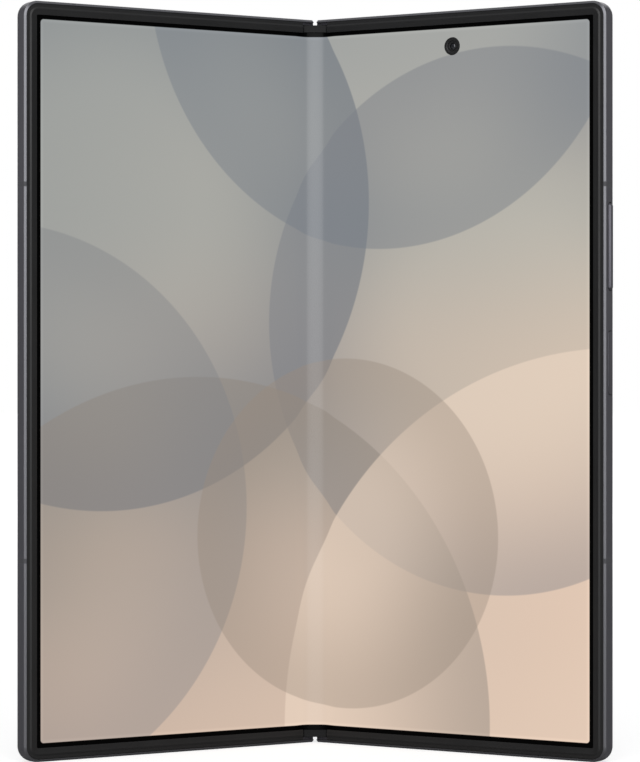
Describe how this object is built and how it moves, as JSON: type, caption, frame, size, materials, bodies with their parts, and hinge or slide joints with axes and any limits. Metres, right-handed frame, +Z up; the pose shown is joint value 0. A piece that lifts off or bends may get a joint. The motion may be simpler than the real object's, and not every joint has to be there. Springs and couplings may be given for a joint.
{
  "type": "foldable smartphone",
  "caption": "Book-style folding phone: two slim halves on a geared hinge with one bending inner screen, a cover screen, keys, a camera island and a card tray.",
  "frame": {"origin": "middle of the footprint, on the surface that the phone stands on", "axes": "+Z up along the fold, +X towards the half with the cameras, inner screen faces -Y"},
  "size_m": [0.1242, 0.0414, 0.1584],
  "materials": {
    "frame_aluminium": "bead-blasted and anodised dark grey",
    "antenna_plastic": "satin moulded plastic",
    "back_glass": "frosted dark glass over an opaque film",
    "cover_glass": "polished black glass",
    "display_panel": "glossy flexible display film, lit",
    "bezel_rubber": "fine matt moulded frame",
    "cap_plastic": "fine matt moulded cap",
    "hinge_cover_aluminium": "bead-blasted and anodised",
    "hinge_steel": "fine machined",
    "gear_brass": "sintered and polished",
    "screw_steel": "turned, zinc plated",
    "camera_ring_aluminium": "turned and anodised",
    "lens_glass": "coated dark glass",
    "camera_housing": "black moulded housing",
    "flash_glass": "diffusing window",
    "battery_wrap": "black foil pouch",
    "coil_copper": "wound enamelled copper",
    "circuit_board": "solder mask",
    "shield_steel": "pressed, tin plated",
    "moulded_plastic": "black moulded plastic",
    "magnet_nickel": "nickel plated"
  },
  "bodies": {
    "hinge_spine": {"spine_cover": "hinge_cover_aluminium", "top_end_cap": "cap_plastic", "bottom_end_cap": "cap_plastic", "centre_plate": "hinge_steel", "top_hinge_bracket": "hinge_steel", "bottom_hinge_bracket": "hinge_steel", "gear_bracket": "hinge_steel", "friction_discs": "hinge_steel", "display_fold": "display_panel"},
    "rear_half": {"rear_frame": "frame_aluminium", "rear_antenna_breaks": "antenna_plastic", "rear_glass": "back_glass", "rear_bezel": "bezel_rubber", "rear_display": "display_panel", "rear_display_backplate": "hinge_steel", "camera_island": "frame_aluminium", "camera_rings": "camera_ring_aluminium", "camera_lenses": "lens_glass", "camera_modules": "camera_housing", "flash_window": "flash_glass", "selfie_camera": "camera_housing", "selfie_lens": "lens_glass", "rear_battery": "battery_wrap", "charging_coil": "coil_copper", "main_board": "circuit_board", "shield_cans": "shield_steel", "board_screws": "screw_steel", "usb_socket": "shield_steel", "usb_tongue": "moulded_plastic", "loudspeaker": "moulded_plastic", "vibration_motor": "shield_steel", "key_switches": "moulded_plastic", "rear_magnets": "magnet_nickel", "rear_hinge_levers": "hinge_steel", "rear_hinge_screws": "screw_steel", "volume_key_pin": "screw_steel"},
    "front_half": {"front_frame": "frame_aluminium", "front_antenna_breaks": "antenna_plastic", "cover_glass": "cover_glass", "cover_display": "display_panel", "cover_camera": "camera_housing", "front_bezel": "bezel_rubber", "front_display": "display_panel", "front_display_backplate": "hinge_steel", "front_battery": "battery_wrap", "front_board": "circuit_board", "earpiece_speaker": "moulded_plastic", "card_reader": "shield_steel", "front_magnets": "magnet_nickel", "front_hinge_levers": "hinge_steel", "front_hinge_screws": "screw_steel"},
    "volume_rocker": {"volume_key": "frame_aluminium"},
    "side_button": {"side_key": "frame_aluminium"},
    "tray": {"card_tray": "frame_aluminium"},
    "rear_support_wing": {"rear_wing": "hinge_steel"},
    "front_support_wing": {"front_wing": "hinge_steel"},
    "rear_timing_lever": {"rear_timing_arm": "hinge_steel"},
    "front_timing_lever": {"front_timing_arm": "hinge_steel"},
    "rear_gear": {"rear_middle_gear": "gear_brass"},
    "front_gear": {"front_middle_gear": "gear_brass"}
  },
  "joints": [
    {"name": "rear_fold", "type": "hinge", "parent": "hinge_spine", "child": "rear_half", "pos_m": [0.00125, 0.0174, 0], "axis": [0, 0, -1], "range_deg": [-32.2, 57.8], "deforming": ["display_fold"]},
    {"name": "front_fold", "type": "hinge", "parent": "hinge_spine", "child": "front_half", "pos_m": [-0.00125, 0.0174, 0], "axis": [0, 0, 1], "range_deg": [-32.2, 57.8], "deforming": ["display_fold"]},
    {"name": "rear_wing_turn", "type": "hinge", "parent": "rear_half", "child": "rear_support_wing", "pos_m": [0.0055, 0.01458, 0], "axis": [0, 0, -1], "range_deg": [-7.92, 14.18]},
    {"name": "front_wing_turn", "type": "hinge", "parent": "front_half", "child": "front_support_wing", "pos_m": [-0.0055, 0.01458, 0], "axis": [0, 0, 1], "range_deg": [-7.92, 14.18]},
    {"name": "rear_timing_turn", "type": "hinge", "parent": "hinge_spine", "child": "rear_timing_lever", "pos_m": [0.00205, 0.01785, 0], "axis": [0, 0, -1], "range_deg": [-32.25, 57.85]},
    {"name": "front_timing_turn", "type": "hinge", "parent": "hinge_spine", "child": "front_timing_lever", "pos_m": [-0.00205, 0.01785, 0], "axis": [0, 0, 1], "range_deg": [-32.25, 57.85]},
    {"name": "rear_gear_turn", "type": "hinge", "parent": "hinge_spine", "child": "rear_gear", "pos_m": [0.00076, 0.01825, 0], "axis": [0, 0, 1], "range_deg": [-25.81, 46.29]},
    {"name": "front_gear_turn", "type": "hinge", "parent": "hinge_spine", "child": "front_gear", "pos_m": [-0.00076, 0.01825, 0], "axis": [0, 0, -1], "range_deg": [-25.81, 46.29]},
    {"name": "volume_rock", "type": "hinge", "parent": "rear_half", "child": "volume_rocker", "pos_m": [0.06095, -0.01878, 0.10725], "axis": [0.5329, 0.8462, 0], "range_deg": [-1.3, 1.3], "stiffness_Nm_per_rad": 0.05},
    {"name": "side_press", "type": "slide", "parent": "rear_half", "child": "side_button", "axis": [-0.8462, 0.5329, 0], "range_m": [0, 0.0002], "stiffness_N_per_m": 3000},
    {"name": "tray_slide", "type": "slide", "parent": "front_half", "child": "tray", "axis": [0, 0, 1], "range_m": [0, 0.014]}
  ],
  "couplings": [
    {"joint": "front_fold", "follows": "rear_fold", "ratio": 1},
    {"joint": "rear_wing_turn", "follows": "rear_fold", "ratio": 0.2444},
    {"joint": "front_wing_turn", "follows": "rear_fold", "ratio": 0.2444},
    {"joint": "rear_timing_turn", "follows": "rear_fold", "ratio": 1},
    {"joint": "front_timing_turn", "follows": "rear_fold", "ratio": 1},
    {"joint": "rear_gear_turn", "follows": "rear_fold", "ratio": 0.8},
    {"joint": "front_gear_turn", "follows": "rear_fold", "ratio": 0.8}
  ]
}
